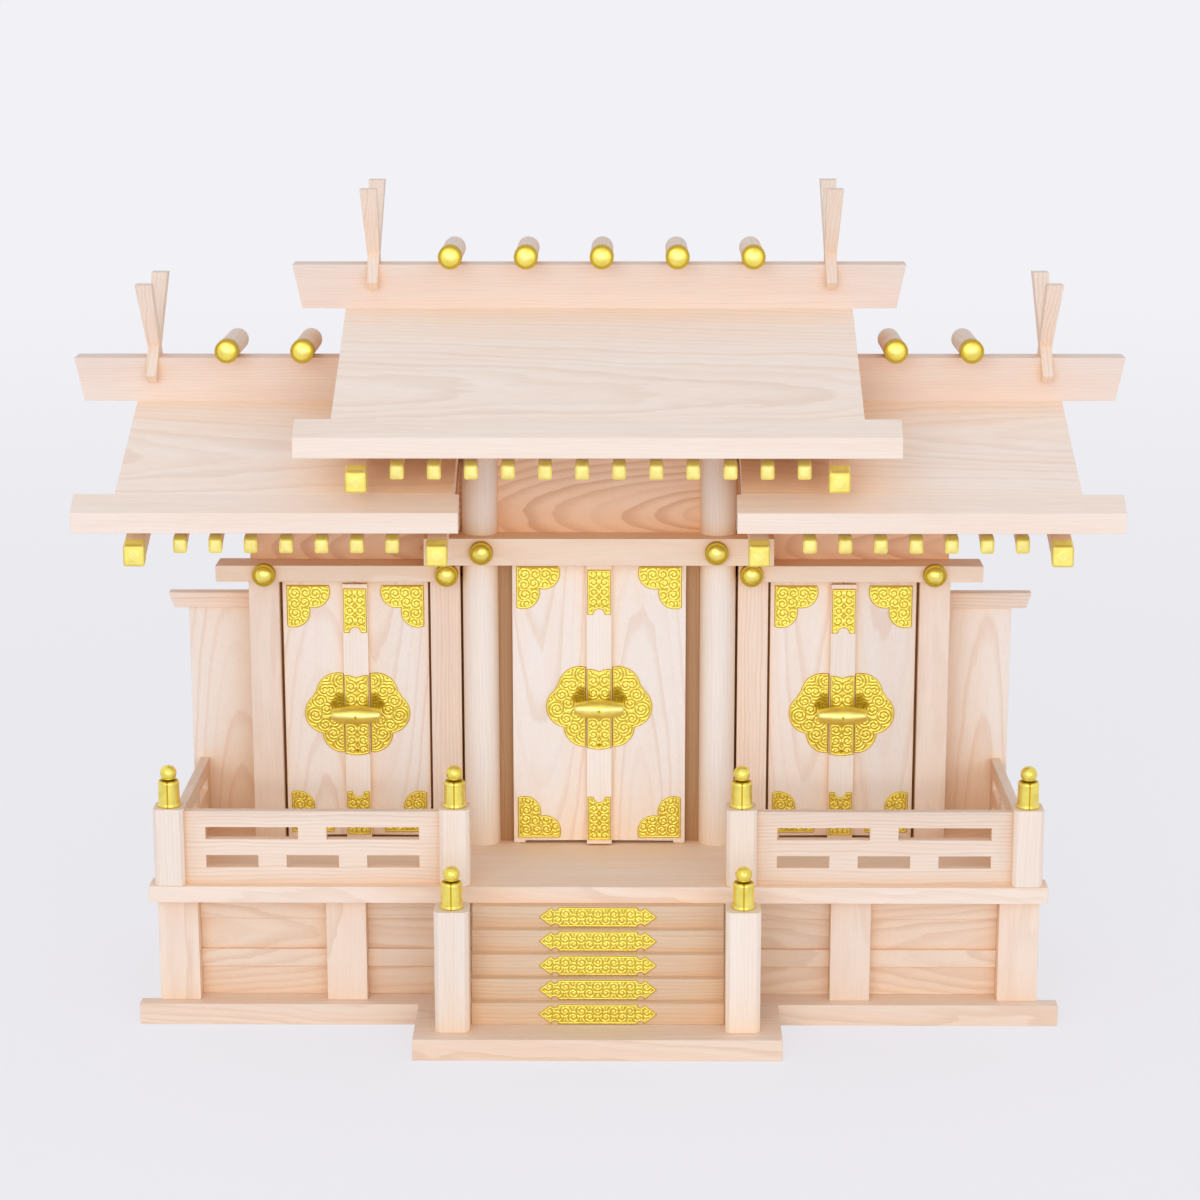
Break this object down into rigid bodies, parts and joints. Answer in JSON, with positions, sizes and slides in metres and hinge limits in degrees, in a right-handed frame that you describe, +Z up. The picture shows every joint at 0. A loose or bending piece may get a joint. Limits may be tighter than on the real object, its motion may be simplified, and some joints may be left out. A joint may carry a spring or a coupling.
{
  "type": "household shinto shrine (kamidana)",
  "caption": "Household shrine of plain timber with stepped gabled roofs, paired doors on pivots, a railed veranda, a stair and brass fittings.",
  "frame": {"origin": "middle of the base board's underside", "axes": "+X along the shrine's width to its right as seen from the front, -Y towards the front, +Z up"},
  "size_m": [0.585, 0.2466, 0.4523],
  "materials": {
    "pale_cypress": "planed, unfinished",
    "shaded_cypress": "planed, unfinished",
    "brass_fittings": "polished, stamped"
  },
  "bodies": {
    "shrine": {"base_board": "pale_cypress", "stair_plate": "pale_cypress", "base_posts": "pale_cypress", "front_skirts": "shaded_cypress", "rear_skirts": "shaded_cypress", "veranda_floor": "pale_cypress", "stair_steps": "shaded_cypress", "step_fittings": "brass_fittings", "stair_posts": "pale_cypress", "railing_posts": "pale_cypress", "post_finials": "brass_fittings", "front_railing_left": "pale_cypress", "front_railing_right": "pale_cypress", "side_railing_left": "pale_cypress", "side_railing_right": "pale_cypress", "side_screens": "shaded_cypress", "screen_caps": "shaded_cypress", "centre_pillars": "pale_cypress", "side_pillars": "pale_cypress", "centre_lintel": "pale_cypress", "side_lintels": "pale_cypress", "lintel_caps": "brass_fittings", "friezes": "shaded_cypress", "door_jambs": "shaded_cypress", "door_heads": "shaded_cypress", "side_walls": "shaded_cypress", "back_wall": "shaded_cypress", "roof_ceilings": "shaded_cypress", "rafters": "pale_cypress", "rafter_caps": "brass_fittings", "front_bargeboards": "pale_cypress", "back_bargeboards": "pale_cypress", "bargeboard_caps": "brass_fittings", "front_slabs": "pale_cypress", "back_slabs": "pale_cypress", "eave_boards": "pale_cypress", "ridge_beams": "pale_cypress", "chigi": "pale_cypress", "katsuogi": "pale_cypress", "katsuogi_caps": "brass_fittings"},
    "left_left_leaf": {"left_doors_left_leaf": "pale_cypress", "left_doors_left_plates": "brass_fittings"},
    "left_right_leaf": {"left_doors_right_leaf": "pale_cypress", "left_doors_batten": "pale_cypress", "left_doors_right_plates": "brass_fittings"},
    "centre_left_leaf": {"centre_doors_left_leaf": "pale_cypress", "centre_doors_left_plates": "brass_fittings"},
    "centre_right_leaf": {"centre_doors_right_leaf": "pale_cypress", "centre_doors_batten": "pale_cypress", "centre_doors_right_plates": "brass_fittings"},
    "right_left_leaf": {"right_doors_left_leaf": "pale_cypress", "right_doors_left_plates": "brass_fittings"},
    "right_right_leaf": {"right_doors_right_leaf": "pale_cypress", "right_doors_batten": "pale_cypress", "right_doors_right_plates": "brass_fittings"}
  },
  "joints": [
    {"name": "left_right_hinge", "type": "hinge", "parent": "shrine", "child": "left_right_leaf", "pos_m": [-0.0983, 0, 0.0813], "axis": [0, 0, 1], "range_deg": [0, 90]},
    {"name": "left_left_hinge", "type": "hinge", "parent": "shrine", "child": "left_left_leaf", "pos_m": [-0.1763, 0, 0.0813], "axis": [0, 0, -1], "range_deg": [0, 90]},
    {"name": "centre_right_hinge", "type": "hinge", "parent": "shrine", "child": "centre_right_leaf", "pos_m": [0.0466, -0.01, 0.0813], "axis": [0, 0, 1], "range_deg": [0, 90]},
    {"name": "centre_left_hinge", "type": "hinge", "parent": "shrine", "child": "centre_left_leaf", "pos_m": [-0.0466, -0.01, 0.0813], "axis": [0, 0, -1], "range_deg": [0, 90]},
    {"name": "right_right_hinge", "type": "hinge", "parent": "shrine", "child": "right_right_leaf", "pos_m": [0.1763, 0, 0.0813], "axis": [0, 0, 1], "range_deg": [0, 90]},
    {"name": "right_left_hinge", "type": "hinge", "parent": "shrine", "child": "right_left_leaf", "pos_m": [0.0983, 0, 0.0813], "axis": [0, 0, -1], "range_deg": [0, 90]}
  ],
  "couplings": [
    {"joint": "left_left_hinge", "follows": "left_right_hinge", "ratio": 1},
    {"joint": "centre_left_hinge", "follows": "centre_right_hinge", "ratio": 1},
    {"joint": "right_left_hinge", "follows": "right_right_hinge", "ratio": 1}
  ]
}
